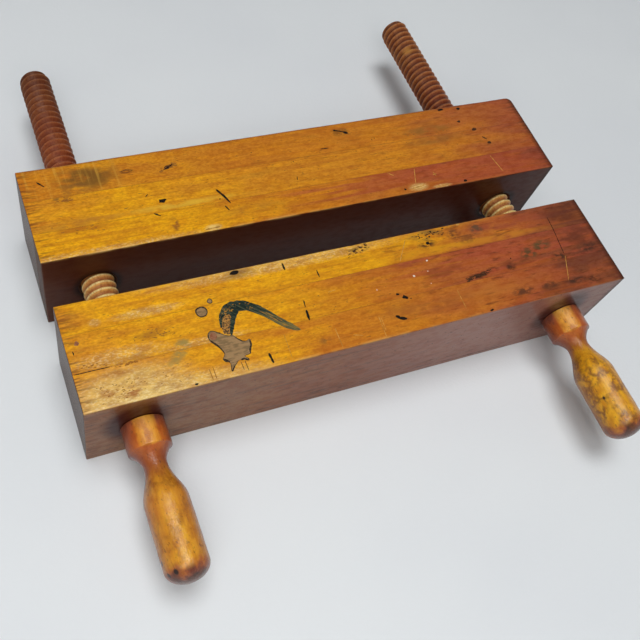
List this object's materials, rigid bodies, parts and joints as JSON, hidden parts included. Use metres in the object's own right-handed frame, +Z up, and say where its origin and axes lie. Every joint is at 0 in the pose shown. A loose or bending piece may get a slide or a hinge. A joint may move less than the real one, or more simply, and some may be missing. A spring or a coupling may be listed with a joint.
{
  "type": "bookbinding finishing press",
  "caption": "Wooden bench press with laminated square jaws that turned hand screws with grip handles draw together on a book.",
  "frame": {"origin": "middle of the back jaw's underside, on the bench plane", "axes": "+X along the jaws, to the right as seen from the handles; +Y along the screws, from the handles to the tips; +Z up"},
  "size_m": [0.4572, 0.4763, 0.0857],
  "materials": {
    "jaw_maple": "aged amber varnish, glossy, worn and stained",
    "screw_maple": "varnished handle, bare waxed thread"
  },
  "bodies": {
    "back_jaw": {"back_jaw_inner_board": "jaw_maple", "back_jaw_middle_board": "jaw_maple", "back_jaw_outer_board": "jaw_maple"},
    "front_jaw": {"front_jaw_inner_board": "jaw_maple", "front_jaw_middle_board": "jaw_maple", "front_jaw_outer_board": "jaw_maple"},
    "left_screw": {"left_screw": "screw_maple"},
    "right_screw": {"right_screw": "screw_maple"}
  },
  "joints": [
    {"name": "front_jaw_slide", "type": "slide", "parent": "back_jaw", "child": "front_jaw", "axis": [0, -1, 0], "range_m": [-0.0371, 0.13]},
    {"name": "left_screw_turn", "type": "hinge", "parent": "front_jaw", "child": "left_screw", "pos_m": [-0.1869, -0.16615, 0.04285], "axis": [0, -1, 0], "range_deg": [-2103.8, 7370.5]},
    {"name": "right_screw_turn", "type": "hinge", "parent": "front_jaw", "child": "right_screw", "pos_m": [0.1869, -0.16615, 0.04285], "axis": [0, -1, 0], "range_deg": [-2103.8, 7370.5]}
  ],
  "couplings": [
    {"joint": "left_screw_turn", "follows": "front_jaw_slide", "rad_per_m": 989.48},
    {"joint": "right_screw_turn", "follows": "front_jaw_slide", "rad_per_m": 989.48}
  ]
}
